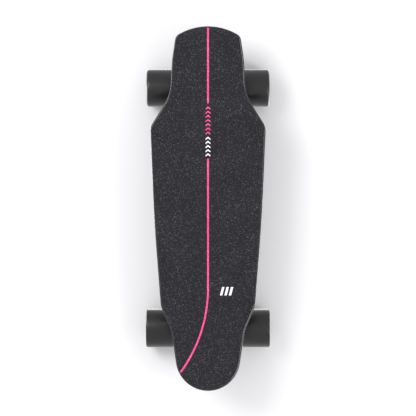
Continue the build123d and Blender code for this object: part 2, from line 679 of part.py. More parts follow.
def rear_wheels():
    x_in, x_out = REAR_WHEEL_X
    r = REAR_WHEEL_R
    tyre = turned([(x_in, 31.5), (x_in, r), (x_out, r), (x_out, 28.5), (x_out - 3, 28.5), (x_out - 3, 31.5)])
    shoulders = [e for e in tyre.edges().filter_by(GeomType.CIRCLE) if abs(e.radius - r) < 0.01]
    tyre = fillet(shoulders, 3.0)
    can = turned([(x_in, 29), (x_in, 31.5), (x_out - 3, 31.5), (x_out - 3, 28.5), (x_out - 0.8, 28.5),
                  (x_out - 0.3, 27.5), (x_out - 0.3, 0), (x_out - 4, 0), (x_out - 4, 9), (113, 9), (113, 11),
                  (106, 11), (106, 14.5), (x_out - 6, 14.5), (x_out - 6, 29)])
    bell = turned([(59.5, 20), (60.3, 21), (x_in, 24.5), (x_in, 29), (71, 29), (71, 27), (69, 25), (69, 13.2),
                   (67, 13.2), (67, 13), (61, 13), (61, 11.5), (59.5, 11.5)])
    magnets = tube(*STACK_X, 26.0, 29.0)
    races = [bearing_rings(*spec)[1] for spec in REAR_BEARINGS]
    parts = (("tyre", [tyre]), ("motor_can", [can]), ("end_bell", [bell]), ("magnets", [magnets]),
             ("bearing_outers", races))
    for name, flip in (("right", False), ("left", True)):
        for node, solids in parts:
            shown = mirror_x(*solids) if flip else solids
            save(f"rear_{name}_{node}", *[on_axle(REAR_AXLE, -1, s) for s in shown])


save("hull_shell", hull_shell())
deck_top()
deck_fasteners()
electronics()
bottom_fittings()
for each in (FRONT, REAR):
    baseplate(each)
    bushings(each)
kingpin_parts()
front_axle_parts()
front_wheels()
rear_axle_parts()
rear_wheels()
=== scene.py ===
import json
import math

import bpy
from mathutils import Matrix, Vector

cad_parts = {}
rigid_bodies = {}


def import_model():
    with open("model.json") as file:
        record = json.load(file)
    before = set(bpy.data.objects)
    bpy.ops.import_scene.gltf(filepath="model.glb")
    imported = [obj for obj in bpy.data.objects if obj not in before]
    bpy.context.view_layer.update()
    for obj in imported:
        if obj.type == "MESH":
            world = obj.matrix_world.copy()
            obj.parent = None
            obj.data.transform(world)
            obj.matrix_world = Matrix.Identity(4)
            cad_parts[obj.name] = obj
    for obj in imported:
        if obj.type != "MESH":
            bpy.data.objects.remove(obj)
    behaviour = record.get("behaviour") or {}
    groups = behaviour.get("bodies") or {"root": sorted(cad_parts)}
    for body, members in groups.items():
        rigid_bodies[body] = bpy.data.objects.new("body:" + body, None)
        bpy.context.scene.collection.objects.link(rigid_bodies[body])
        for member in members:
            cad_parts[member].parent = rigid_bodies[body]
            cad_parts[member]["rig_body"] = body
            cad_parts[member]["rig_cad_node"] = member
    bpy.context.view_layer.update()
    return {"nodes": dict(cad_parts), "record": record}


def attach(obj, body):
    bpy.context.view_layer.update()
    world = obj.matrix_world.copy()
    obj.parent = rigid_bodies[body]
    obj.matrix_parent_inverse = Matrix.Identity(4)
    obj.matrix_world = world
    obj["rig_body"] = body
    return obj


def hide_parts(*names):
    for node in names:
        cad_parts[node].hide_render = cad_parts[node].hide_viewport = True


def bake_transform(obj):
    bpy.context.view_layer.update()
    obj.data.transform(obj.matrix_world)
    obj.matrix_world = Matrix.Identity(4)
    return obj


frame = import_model()

# Electric skateboard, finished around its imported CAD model. Sizes are in millimetres and are
# turned into metres by MM where a mesh is made. +Y is the nose, +X the right, +Z up.
MM = 0.001

# ---- board sizes, as in the CAD model ----
HALF_LENGTH = 350.0
DECK_TOP = 118.5
RECESS = 6.0                 # depth of the seat for the deck panel
CEILING = 9.5                # depth of the open dishes' roof under the deck's top
RIM = 3.0                    # width of the hull's rim round the deck panel
WALL = 6.0                   # width of the wall round the open dishes
MOUNT_Z = 103.0              # height of the trucks' seats
BAY_HALF, BAY_REAR, BAY_FRONT, BAY_Z = 72.0, -165.0, 152.0, 87.5
NOSE_FLAT_END, NOSE_R = 115.0, 6574.0
TAIL_FLAT_END, TAIL_R = -140.0, 1131.0
PORT = (12.8, -54.0)
BUTTON = (-13.5, -54.0)
SOCKET_R = 6.0               # holes for the port and the button
FLANGE_R, FLANGE_Z = 7.0, 85.0
CLAMP_Y = -188.0
INSERT_R, PILOT_R = 3.5, 1.5
TRUCK_BOLTS = [(sx * 20.65, y + sy * 31.75) for y in (231.2, -241.0) for sx in (-1, 1) for sy in (-1, 1)]
PANEL_SCREWS = [(x, y) for x in (-80, 80) for y in (-120, -30, 60, 145)]
PANEL_SCREWS += [(x, y) for x in (-45, 45) for y in (-171.5, 157.5)]
FRONT_AXLE = (235.5, 36.5)
REAR_AXLE = (-235.5, 37.5)
ROUND = 96                   # sides of a turned piece


# ---------------------------------------------------------------- materials
def linear(code):
    """sRGB hex to a linear colour."""
    parts = [int(code[i:i + 2], 16) / 255 for i in (1, 3, 5)]
    return (*[c / 12.92 if c <= 0.04045 else ((c + 0.055) / 1.055) ** 2.4 for c in parts], 1.0)


def add(tree, kind, inputs=None, **settings):
    """Add a node, set its options, and feed its sockets from values or from other nodes' sockets."""
    made = tree.nodes.new(kind)
    for option, value in settings.items():
        setattr(made, option, value)
    for socket, value in (inputs or {}).items():
        if isinstance(value, bpy.types.NodeSocket):
            tree.links.new(value, made.inputs[socket])
        else:
            made.inputs[socket].default_value = value
    return made


def start(name, colour, roughness, **sockets):
    """New material with its shader; returns the material, its tree, the shader and the Object coordinates."""
    made = bpy.data.materials.new(name)
    made.use_nodes = True
    tree = made.node_tree
    tree.nodes.clear()
    shader = add(tree, "ShaderNodeBsdfPrincipled",
                 {"Base Color": linear(colour), "Roughness": roughness,
                  **{key.replace("_", " "): value for key, value in sockets.items()}})
    add(tree, "ShaderNodeOutputMaterial", {"Surface": shader.outputs["BSDF"]})
    place = add(tree, "ShaderNodeTexCoord").outputs["Object"]
    return made, tree, shader, place


def tie(tree, shader, socket, value):
    tree.links.new(value, shader.inputs[socket])


def cloudy(tree, place, size_mm, low, high, detail=3.0):
    """Number that drifts between low and high in patches of about size_mm."""
    noise = add(tree, "ShaderNodeTexNoise",
                {"Vector": place, "Scale": 1 / (size_mm * MM), "Detail": detail})
    spread = add(tree, "ShaderNodeMapRange", {"Value": noise.outputs["Fac"], "From Min": 0.3,
                                              "From Max": 0.7, "To Min": low, "To Max": high})
    return spread.outputs["Result"]


def tinted(tree, factor, first, second):
    """Colour between two hex values."""
    ramp = add(tree, "ShaderNodeValToRGB", {"Fac": factor})
    ramp.color_ramp.elements[0].color = linear(first)
    ramp.color_ramp.elements[1].color = linear(second)
    return ramp.outputs["Color"]


def relief(tree, shader, height, depth_mm, strength=1.0):
    bump = add(tree, "ShaderNodeBump", {"Height": height, "Distance": depth_mm * MM, "Strength": strength})
    tie(tree, shader, "Normal", bump.outputs["Normal"])


def gloss_black_abs():
    """Injection-moulded ABS, polished mould: deep black with broad reflections and a faint orange peel."""
    made, tree, shader, place = start("gloss_black_moulded_abs", "#101014", 0.22, IOR=1.53,
                                      Coat_Weight=0.35, Coat_Roughness=0.08)
    tie(tree, shader, "Base Color", tinted(tree, cloudy(tree, place, 60, 0, 1), "#0e0e11", "#131317"))
    tie(tree, shader, "Roughness", cloudy(tree, place, 35, 0.2, 0.24, 5))
    relief(tree, shader, cloudy(tree, place, 2.5, 0, 1, 2), 0.02, 0.5)
    return made


def grit(name, dark, light, painted_glint):
    """Silicon carbide grit on a film: dull, dark, with scattered bright grains whose brightest colour is a
    painted glint.

    The real grains are about 0.4 mm; they are drawn 1.1 mm across so that they still show."""
    made, tree, shader, place = start(name, dark, 0.9, Specular_IOR_Level=0.22)
    grain = add(tree, "ShaderNodeTexVoronoi", {"Vector": place, "Scale": 1 / (1.1 * MM)})
    shade = add(tree, "ShaderNodeSeparateColor", {"Color": grain.outputs["Color"]})
    ramp = add(tree, "ShaderNodeValToRGB", {"Fac": shade.outputs["Red"]})
    ramp.color_ramp.elements[0].color = linear(dark)
    ramp.color_ramp.elements[1].position = 0.9
    ramp.color_ramp.elements[1].color = linear(light)
    # painted glint: the brightest grains get a pale colour that stands in for light off their facets
    ramp.color_ramp.elements.new(0.99).color = linear(painted_glint)
    worn = cloudy(tree, place, 45, 0.86, 1.08)
    mixed = add(tree, "ShaderNodeMix", {0: 1.0, 6: ramp.outputs["Color"], 7: worn},
                data_type="RGBA", blend_type="MULTIPLY")
    tie(tree, shader, "Base Color", mixed.outputs[2])
    relief(tree, shader, grain.outputs["Distance"], 0.5, 0.8)
    return made


def cast_urethane():
    """Cast black polyurethane: satin, slightly waxy, with dust settled in fine mould marks."""
    made, tree, shader, place = start("cast_black_urethane", "#111113", 0.36, IOR=1.5)
    tie(tree, shader, "Base Color", tinted(tree, cloudy(tree, place, 12, 0, 1), "#08080a", "#0e0e10"))
    tie(tree, shader, "Roughness", cloudy(tree, place, 9, 0.3, 0.37, 4))
    relief(tree, shader, cloudy(tree, place, 0.9, 0, 1, 2), 0.03, 0.4)
    return made


def moulded_nylon():
    """Glass-filled nylon wheel core with a polished bowl: near black and glossy."""
    made, tree, shader, place = start("moulded_black_nylon", "#101013", 0.16, IOR=1.53)
    tie(tree, shader, "Roughness", cloudy(tree, place, 6, 0.13, 0.22, 4))
    return made


def powder_coat():
    """Powder-coated cast aluminium: black, semi-gloss, with a fine pebbled skin."""
    made, tree, shader, place = start("powder_coated_black", "#1b1b1f", 0.34, IOR=1.5)
    tie(tree, shader, "Base Color", tinted(tree, cloudy(tree, place, 25, 0, 1), "#17171a", "#212126"))
    tie(tree, shader, "Roughness", cloudy(tree, place, 8, 0.28, 0.42, 4))
    relief(tree, shader, cloudy(tree, place, 1.1, 0, 1, 2), 0.04, 0.5)
    return made


def zinc_plate():
    """Yellow-passivated zinc on steel: pale cream metal that clouds to straw."""
    made, tree, shader, place = start("yellow_zinc_plated_steel", "#f2ebc6", 0.28, Metallic=1.0)
    tie(tree, shader, "Base Color", tinted(tree, cloudy(tree, place, 4, 0, 1), "#fbf6dd", "#ead98f"))
    tie(tree, shader, "Roughness", cloudy(tree, place, 3, 0.22, 0.4))
    return made


def bright_metal(name, first, second, low, high, grain_mm):
    """Turned or ground metal: bright, with fine tool marks that blur the reflection unevenly."""
    made, tree, shader, place = start(name, first, (low + high) / 2, Metallic=1.0)
    tie(tree, shader, "Base Color", tinted(tree, cloudy(tree, place, 15, 0, 1), first, second))
    tie(tree, shader, "Roughness", cloudy(tree, place, 5, low, high, 4))
    marks = add(tree, "ShaderNodeTexWave",
                {"Vector": place, "Scale": 1 / (grain_mm * MM) / 20, "Distortion": 0.4, "Detail": 1.0},
                bands_direction="X")
    relief(tree, shader, marks.outputs["Fac"], 0.02, 0.25)
    return made


def orange_urethane():
    """Translucent cast urethane bushing: light soaks in, so the orange glows at thin edges."""
    made, tree, shader, place = start("orange_cast_urethane", "#ffa32e", 0.3, IOR=1.5,
                                      Subsurface_Weight=0.6, Subsurface_Scale=0.006)
    tie(tree, shader, "Base Color", tinted(tree, cloudy(tree, place, 10, 0, 1), "#ffa022", "#ffb846"))
    relief(tree, shader, cloudy(tree, place, 0.8, 0, 1), 0.03, 0.3)
    return made


def soft_rubber():
    """Moulded rubber: dull black that greys where dust clings."""
    made, tree, shader, place = start("moulded_black_rubber", "#151517", 0.62)
    tie(tree, shader, "Base Color", tinted(tree, cloudy(tree, place, 7, 0, 1), "#121214", "#1e1e21"))
    relief(tree, shader, cloudy(tree, place, 0.7, 0, 1), 0.05, 0.5)
    return made


def satin_cap():
    """Satin-anodised aluminium motor cap: dark grey with a soft, wide highlight."""
    made, tree, shader, place = start("satin_anodised_dark_grey", "#3b3b41", 0.42, Metallic=0.55)
    tie(tree, shader, "Base Color", tinted(tree, cloudy(tree, place, 30, 0, 1), "#37373c", "#414147"))
    tie(tree, shader, "Roughness", cloudy(tree, place, 1.2, 0.36, 0.48, 2))
    return made


def flat_print():
    """Screen-printed white ink on the grit: chalky, broken by the grains under it."""
    made, tree, shader, place = start("screen_printed_white", "#eeeeee", 0.85)
    tie(tree, shader, "Base Color", tinted(tree, cloudy(tree, place, 1.5, 0, 1, 1), "#d8d8da", "#fbfbfb"))
    relief(tree, shader, cloudy(tree, place, 1.5, 0, 1, 1), 0.3, 0.6)
    return made


def plain(name, first, second, roughness, patch_mm, metallic=0.0, depth_mm=0.03):
    """Inner piece: its own colour, uneven over patch_mm, with a fine skin."""
    made, tree, shader, place = start(name, first, roughness, Metallic=metallic)
    tie(tree, shader, "Base Color", tinted(tree, cloudy(tree, place, patch_mm, 0, 1), first, second))
    tie(tree, shader, "Roughness", cloudy(tree, place, patch_mm / 2, roughness - 0.07, roughness + 0.07))
    relief(tree, shader, cloudy(tree, place, patch_mm / 8, 0, 1), depth_mm, 0.4)
    return made


FINISH = {
    "hull": gloss_black_abs(),
    # the last colour of each grit is a painted glint on its brightest grains
    "grip": grit("charcoal_silicon_carbide_grit", "#19191c", "#28282c", "#58585f"),
    "stripe": grit("pink_printed_grit", "#e63f84", "#f9528f", "#ff93bc"),
    "urethane": cast_urethane(),
    "core": moulded_nylon(),
    "truck_black": powder_coat(),
    "zinc": zinc_plate(),
    "silver": bright_metal("bright_turned_aluminium", "#e2e3e6", "#f4f5f6", 0.18, 0.3, 0.6),
    "steel": bright_metal("ground_bearing_steel", "#c3c5c8", "#dcdde0", 0.2, 0.34, 0.4),
    "bushing": orange_urethane(),
    "rubber": soft_rubber(),
    "motor": satin_cap(),
    "black_steel": plain("black_oxide_steel", "#3a3a3e", "#55555a", 0.34, 3, 0.9),
    "panel": plain("pressed_glass_epoxy_panel", "#1d1d1d", "#2a2927", 0.55, 5),
    "brass": plain("knurled_brass", "#c79a4a", "#dcb56a", 0.32, 2, 1.0),
    "cell": plain("blue_shrink_wrapped_cell", "#2f62b0", "#3f78c8", 0.3, 12),
    "holder": plain("moulded_black_cell_holder", "#1a1a1c", "#242427", 0.5, 6),
    "nickel": plain("rolled_nickel_strip", "#c9c4b4", "#ddd9cc", 0.3, 4, 1.0),
    "board": plain("green_glass_epoxy_board", "#0f4a2a", "#176238", 0.35, 8),
    "case": plain("extruded_grey_aluminium", "#7b7c80", "#929398", 0.36, 9, 1.0),
    "wire": plain("red_silicone_wire", "#a11713", "#bd2721", 0.5, 5),
    "iron": plain("laminated_steel", "#5d5e62", "#77787c", 0.4, 2, 0.9),
    "copper": plain("enamelled_copper_wire", "#b8622c", "#d27c3e", 0.3, 1.5, 1.0, 0.2),
}
PRINT = flat_print()
SLOTS = {part["node"]: part["material_slot"] for part in frame["record"]["subparts"]}


def paint(piece, finish):
    piece.data.materials.clear()
    piece.data.materials.append(finish)


for node, item in frame["nodes"].items():
    paint(item, FINISH[SLOTS[node]])


# ---------------------------------------------------------------- modelling helpers
def deselect():
    if bpy.context.mode != "OBJECT":
        bpy.ops.object.mode_set(mode="OBJECT")
    bpy.ops.object.select_all(action="DESELECT")


def pick(piece):
    deselect()
    piece.select_set(True)
    bpy.context.view_layer.objects.active = piece


def settle(piece):
    """Put the object's place, turn and scale into its mesh."""
    pick(piece)
    bpy.ops.object.transform_apply(location=True, rotation=True, scale=True)
    return piece


def smooth(piece, degrees=35):
    pick(piece)
    bpy.ops.object.shade_smooth_by_angle(angle=math.radians(degrees))
    return piece


def modify(piece, kind, **settings):
    """Add a modifier and apply it."""
    pick(piece)
    made = piece.modifiers.new(kind.title(), kind)
    for option, value in settings.items():
        setattr(made, option, value)
    bpy.ops.object.modifier_apply(modifier=made.name)
    return piece


def bevelled(piece, width, segments=2, degrees=30):
    return modify(piece, "BEVEL", width=width * MM, segments=segments, limit_method="ANGLE",
                  angle_limit=math.radians(degrees), use_clamp_overlap=True, harden_normals=False)


def cut(piece, tool):
    """Take the tool's volume away from the piece, and drop the tool."""
    modify(piece, "BOOLEAN", operation="DIFFERENCE", object=tool, solver="EXACT")
    bpy.data.objects.remove(tool)
    return piece


def joined(pieces):
    deselect()
    for piece in pieces:
        piece.select_set(True)
    bpy.context.view_layer.objects.active = pieces[0]
    bpy.ops.object.join()
    return bpy.context.object


def named(piece, name, finish, slot, body, *nodes):
    """Give the piece its name, finish and body, and hide the CAD nodes that it stands for."""
    piece.name = name
    piece.data.name = name
    paint(piece, finish)
    if body:
        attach(piece, body)
    if nodes:
        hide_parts(*nodes)
    return piece


def mirrored(piece):
    """Copy with its own mesh on the other side of the board's middle."""
    twin = piece.copy()
    twin.data = piece.data.copy()
    bpy.context.collection.objects.link(twin)
    twin.data.transform(Matrix.Scale(-1, 4, (1, 0, 0)))
    twin.data.flip_normals()
    return twin


def lathe(profile, axle, sides=ROUND):
    """Piece turned about an axle: a ring is extruded and scaled from each (x, r) point to the next."""
    x, radius = profile[0]
    deselect()
    bpy.ops.mesh.primitive_circle_add(vertices=sides, radius=radius * MM, rotation=(0, math.pi / 2, 0),
                                      location=(x * MM, axle[0] * MM, axle[1] * MM))
    piece = settle(bpy.context.object)
    bpy.ops.object.mode_set(mode="EDIT")
    bpy.ops.mesh.select_all(action="SELECT")
    for (x0, r0), (x1, r1) in zip(profile, profile[1:] + profile[:1]):
        bpy.ops.mesh.extrude_edges_move(TRANSFORM_OT_translate={"value": ((x1 - x0) * MM, 0, 0)})
        if r1 != r0:
            bpy.ops.transform.resize(value=(1, r1 / r0, r1 / r0))
    bpy.ops.mesh.select_all(action="SELECT")
    bpy.ops.mesh.remove_doubles(threshold=1e-6)
    bpy.ops.mesh.normals_make_consistent(inside=False)
    bpy.ops.object.mode_set(mode="OBJECT")
    return piece


def arc(x, r, radius, first, last, steps=6):
    """Points of a rounding about (x, r), in degrees."""
    angles = [math.radians(first + (last - first) * i / steps) for i in range(steps + 1)]
    return [(x + radius * math.cos(a), r + radius * math.sin(a)) for a in angles]


def rod(x, y, z0, z1, radius, sides=48):
    deselect()
    bpy.ops.mesh.primitive_cylinder_add(vertices=sides, radius=radius * MM, depth=(z1 - z0) * MM,
                                        location=(x * MM, y * MM, (z0 + z1) / 2 * MM))
    return settle(bpy.context.object)


def cad_copy(node):
    """Merged copy of a CAD node's mesh, ready to work on."""
    source = frame["nodes"][node]
    piece = source.copy()
    piece.data = source.data.copy()
    piece.parent = None
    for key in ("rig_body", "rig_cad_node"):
        del piece[key]
    bpy.context.collection.objects.link(piece)
    pick(piece)
    bpy.ops.object.mode_set(mode="EDIT")
    bpy.ops.mesh.select_all(action="SELECT")
    bpy.ops.mesh.remove_doubles(threshold=2e-6)
    bpy.ops.mesh.customdata_custom_splitnormals_clear()
    bpy.ops.object.mode_set(mode="OBJECT")
    return piece


# ---------------------------------------------------------------- hull
# Corners of the plan's right half, from the tail's tip to the nose's arc, and the radius at each
# corner but the first and the last.
OUTLINE = [(0, -350), (53.4, -350), (70.6, -236), (90.8, -189), (103.5, -25), (111.2, 156.2),
           (72.6, 217.7), (69.3, 285), (62.5, 331.4), (53, 336.5)]
CORNERS = [62, 70, 45, 3500, 33, 95, 200, 16]
NOSE_ARC = (53.0, 336.5)     # end of the arc across the nose
# Height of the floor along the board, as (y, z).
BOTTOM = [(-352, 135.2), (-328, 117), (-300, 104.2), (-275, 97.2), (-240, 92.3), (-200, 87.3), (-160, 84.8),
          (0, 83.2), (168, 81.6), (240, 85.2), (288, 90.4), (326, 97.6), (345, 104.2), (352, 112.5)]
FLOOR_HALF = 77.5

# Side hollows: an arc from the floor's edge up to the rim, closed by an arc at the front and one at
# the rear. A foot is the lower end of an arc; past it the wall falls steeply, out of the way.
SIDE_FOOT, SIDE_HEAD = (FLOOR_HALF, 86.0), (106.0, 110.3)
HOLLOW_TOP = 111.5
FRONT_FOOT, FRONT_HEAD = (196.0, 84.0), (172.0, HOLLOW_TOP)
REAR_FOOT, REAR_HEAD = (-207.0, 88.0), (-176.0, HOLLOW_TOP)
FALL = 8.0                   # slope of a wall past its foot
BROW_SLOPE = 0.03            # slope between the side arc and the rim
SIDE_BLEND, END_BLEND = 1.6, 4.0        # rounding of the floor's edge, and what the ends add to it
BLEND_START, BLEND_RUN = 165.0, 15.0    # where that addition sets in

# Open dishes and their pockets: half width, rear end, front end and corner radius of each box.
DISH_START = 222.0
FRONT_POCKET, REAR_POCKET = (56.0, 163.0, 262.0, 20.0), (56.0, -262.0, -177.0, 20.0)
FRONT_SEAT, REAR_SEAT = (36.5, 183.5, 344.0, 9.0), (36.5, -286.0, -182.0, 9.0)
DISH_BLEND = 7.0
DISH_REACH = 6.0             # how far outside the dish its edge still shapes the shell
WALL_OUT, WALL_RUN = 1.0, 7.5           # where the dish's wall starts, and its run
NOSE_START, NOSE_BUILD, NOSE_RUN = 205.0, 30.0, 5.5     # the wall leans more under the nose
SEAT_OUT, SEAT_RUN = 1.4, 2.6
BEAD_H, BEAD_OUT, BEAD_W = 0.7, 3.2, 1.5    # raised bead along the pocket's edge
BEAD_END = 232.0

# Gussets beside the trucks' seats: (root, tip) along the board, then the distances from the middle.
FRONT_RIB, REAR_RIB = (165.0, 178.0), (-179.0, -187.0)
RIB_INNER, RIB_OUTER, RIB_TIP = 15.0, 36.0, 22.0
RIB_FOOT = 3.0               # how far a gusset runs into the wall behind its root
RIB_Z = 98.0
RIB_OUT, RIB_RUN = 0.9, 2.4


def circle_through(a, b, c):
    """Centre and radius of the circle through three points."""
    d = 2 * (a[0] * (b[1] - c[1]) + b[0] * (c[1] - a[1]) + c[0] * (a[1] - b[1]))
    sq = [p[0] ** 2 + p[1] ** 2 for p in (a, b, c)]
    x = (sq[0] * (b[1] - c[1]) + sq[1] * (c[1] - a[1]) + sq[2] * (a[1] - b[1])) / d
    y = (sq[0] * (c[0] - b[0]) + sq[1] * (a[0] - c[0]) + sq[2] * (b[0] - a[0])) / d
    return Vector((x, y)), math.hypot(a[0] - x, a[1] - y)


def outline_points(step=0.3):
    """Right half of the board's plan, from the nose's tip to the tail's tip, in fine steps."""
    centre, radius = circle_through(NOSE_ARC, (0, HALF_LENGTH), (-NOSE_ARC[0], NOSE_ARC[1]))
    sweep = math.asin(NOSE_ARC[0] / radius)
    count = int(sweep * radius / step)
    line = [centre + radius * Vector((math.sin(sweep * i / count), math.cos(sweep * i / count)))
            for i in range(count)]
    spots = [Vector(p) for p in OUTLINE[::-1]]
    path = [spots[0]]
    for before, corner, after, radius in zip(spots, spots[1:], spots[2:], CORNERS[::-1]):
        inward, outward = (before - corner).normalized(), (after - corner).normalized()
        half = inward.angle(outward) / 2
        reach = radius / math.tan(half)
        middle = corner + (inward + outward).normalized() * (radius / math.sin(half))
        first, last = corner + inward * reach - middle, corner + outward * reach - middle
        turn = first.angle_signed(last)
        steps = max(2, int(abs(turn) * radius / step))
        for i in range(steps + 1):
            path.append(middle + Matrix.Rotation(-turn * i / steps, 2) @ first)
    path.append(spots[-1])
    for a, b in zip(path, path[1:]):
        steps = max(1, int((b - a).length / step))
        line += [a.lerp(b, i / steps) for i in range(steps)]
    line.append(spots[-1])
    return line


def top_z(y):
    if y > NOSE_FLAT_END:
        return DECK_TOP - NOSE_R + math.sqrt(NOSE_R**2 - (y - NOSE_FLAT_END) ** 2)
    if y < TAIL_FLAT_END:
        return DECK_TOP + TAIL_R - math.sqrt(TAIL_R**2 - (y - TAIL_FLAT_END) ** 2)
    return DECK_TOP


def through(points, y):
    """Smooth height through (y, z) points, with each slope taken from its neighbours."""
    y = min(max(y, points[0][0]), points[-1][0])
    i = next(k for k in range(len(points) - 1) if y <= points[k + 1][0])

    def slope(k):
        a, b = points[max(k - 1, 0)], points[min(k + 1, len(points) - 1)]
        return (b[1] - a[1]) / (b[0] - a[0])

    (y0, z0), (y1, z1) = points[i], points[i + 1]
    span = y1 - y0
    t = (y - y0) / span
    return (z0 * (1 + 2 * t) * (1 - t) ** 2 + z1 * t * t * (3 - 2 * t)
            + span * (slope(i) * t * (1 - t) ** 2 - slope(i + 1) * t * t * (1 - t)))


def ease(value, width):
    t = min(max(value / width, 0.0), 1.0)
    return t * t * (3 - 2 * t)


def soft_max(a, b, blend):
    """The larger of two, rounded where they meet."""
    h = max(blend - abs(a - b), 0) / blend
    return max(a, b) + h * h * blend / 4


def inside_box(x, y, half_x, y0, y1, corner):
    """Distance inside a rounded rectangle; negative outside it."""
    qx = abs(x) - half_x + corner
    qy = abs(y - (y0 + y1) / 2) - (y1 - y0) / 2 + corner
    return corner - math.hypot(max(qx, 0), max(qy, 0)) - min(max(qx, qy), 0)


SIDE_ARC = circle_through(SIDE_FOOT, (85.5, 103), SIDE_HEAD)
FRONT_ARC = circle_through(FRONT_FOOT, (190, 102), FRONT_HEAD)
REAR_ARC = circle_through(REAR_HEAD, (-200, 103), REAR_FOOT)


def arc_height(circle, u):
    """Height of the circle's upper half at u."""
    centre, radius = circle
    return centre.y + math.sqrt(max(radius**2 - (u - centre.x) ** 2, 0))


def outer_bottom(x, y):
    """Bottom surface without the dishes: flat floor, side hollows, upswept nose and tail."""
    floor = through(BOTTOM, y)
    if x < SIDE_FOOT[0]:
        side = SIDE_FOOT[1] - (SIDE_FOOT[0] - x) * FALL
    elif x < SIDE_HEAD[0]:
        side = arc_height(SIDE_ARC, x)
    else:
        side = SIDE_HEAD[1] + (x - SIDE_HEAD[0]) * BROW_SLOPE
    if y >= FRONT_FOOT[0]:
        along = FRONT_FOOT[1] - (y - FRONT_FOOT[0]) * FALL
    elif y > FRONT_HEAD[0]:
        along = arc_height(FRONT_ARC, y)
    elif y >= REAR_HEAD[0]:
        along = HOLLOW_TOP
    elif y > REAR_FOOT[0]:
        along = arc_height(REAR_ARC, y)
    else:
        along = REAR_FOOT[1] + (y - REAR_FOOT[0]) * FALL
    blend = SIDE_BLEND + END_BLEND * ease(abs(y) - BLEND_START, BLEND_RUN)
    return soft_max(floor, min(side, along), blend)


def dish_depth(x, y, edge):
    """Distance inside the open dishes under nose and tail; edge is the distance to the outline."""
    end = min(edge - WALL, abs(y) - DISH_START)
    pocket = inside_box(x, y, *(FRONT_POCKET if y > 0 else REAR_POCKET))
    return soft_max(end, pocket, DISH_BLEND)


def rib_depth(x, y):
    """Distance inside the triangular gussets between the pocket's wall and the truck's seat."""
    x = abs(x)
    root, tip = FRONT_RIB if y > 0 else REAR_RIB
    along = (y - root) * math.copysign(1, tip - root)
    inner_lean = (RIB_TIP - RIB_INNER) / abs(tip - root)
    outer_lean = (RIB_OUTER - RIB_TIP) / abs(tip - root)
    inner = (x - RIB_INNER - along * inner_lean) / math.hypot(1, inner_lean)
    outer = (RIB_OUTER - along * outer_lean - x) / math.hypot(1, outer_lean)
    return min(inner, outer, along + RIB_FOOT)


def bottom_z(x, y, edge):
    """Height of the hull's underside."""
    shell = outer_bottom(x, y)
    depth = dish_depth(x, y, edge)
    if depth < -DISH_REACH:
        return shell
    ceiling = top_z(y) - CEILING
    seat = inside_box(x, y, *(FRONT_SEAT if y > 0 else REAR_SEAT))
    ceiling += (MOUNT_Z - ceiling) * ease(seat + SEAT_OUT, SEAT_RUN)
    ceiling -= max(ceiling - RIB_Z, 0) * ease(rib_depth(x, y) + RIB_OUT, RIB_RUN)
    bead = BEAD_H * math.exp(-((depth + BEAD_OUT) / BEAD_W) ** 2) if abs(y) < BEAD_END else 0.0
    run = WALL_RUN + NOSE_RUN * ease(y - NOSE_START, NOSE_BUILD)
    return shell - bead + (ceiling - shell + bead) * ease(depth + WALL_OUT, run)


# Distances from the outline of the columns along the edge, and the rounding of the bottom edge.
EDGE_BAND = [8.0, 6.6, 5.4, 4.2, 3.2, 2.4, 1.6, 0.9, 0.35, 0.0]
EDGE_R = 2.8
# Columns of the underside: (distance from the middle, columns up to there). They are closest where
# the truck's seat and the flat floor end.
COLUMNS = [(12, 6), (35.2, 17), (37.8, 3), (50, 8), (62, 9), (76.9, 8), (78.7, 3), (86, 6), (103.5, 9)]
SQUEEZED = 0.24              # columns that have no room in a narrow row stay this far apart
STRETCHED = 20               # outer columns that share what is left of a wide row
ROW_STEP, FINE_STEP = 2.7, 1.15
FINE_ROWS = [(158, 200), (-208, -172), (215, 226), (340, 350), (-290, -282)]
# The columns fan out from the middle line, between these two points.
FAN_REAR, FAN_FRONT = -288.0, 326.0
FLATTEST = 0.2               # least share of a column's run that counts as away from the outline
SIDE_SHARES = (0.35, 0.7)    # rows up the hull's side
# The rim's section: (inward, down) from the top of the outline.
RIM_SECTION = [(0, 0.9), (0.27, 0.27), (0.9, 0), (RIM - 0.3, 0), (RIM, 0.3), (RIM, RECESS)]
# Columns across the seat and the bay, as distances from the middle; the bay's wall is the first gap.
INNER_COLUMNS = [BAY_HALF + 0.2, BAY_HALF - 0.2, 48.0, 24.0, 0.0]
BAY_MARGIN = 2.0             # a row narrower than the bay and this has no bay


def stations(line):
    """Outline points that carry a cross-section: ROW_STEP apart, closer where the hull changes."""
    chosen = [0]
    gone = 0.0
    for i in range(1, len(line) - 1):
        gone += (line[i] - line[i - 1]).length
        busy = any(low < line[i].y < high for low, high in FINE_ROWS)
        if gone >= (FINE_STEP if busy else ROW_STEP):
            chosen.append(i)
            gone = 0.0
    chosen.append(len(line) - 1)
    return chosen


def spread_columns(reach):
    """Distances from the middle out to reach. The same columns run the whole length of the hull."""
    places = [0.0]
    for end, count in COLUMNS:
        first = places[-1]
        places += [first + (end - first) * (k + 1) / count for k in range(count)]
    last = len(places) - 1
    gap = min(SQUEEZED, reach / (last + 2))
    spread = max(reach - places[-1], 0) / STRETCHED
    fitted = [min(x, reach - gap * (last - k)) for k, x in enumerate(places)]
    for k in range(1, STRETCHED + 1):
        fitted[last - STRETCHED + k] += spread * k
    fitted[-1] = reach
    return fitted


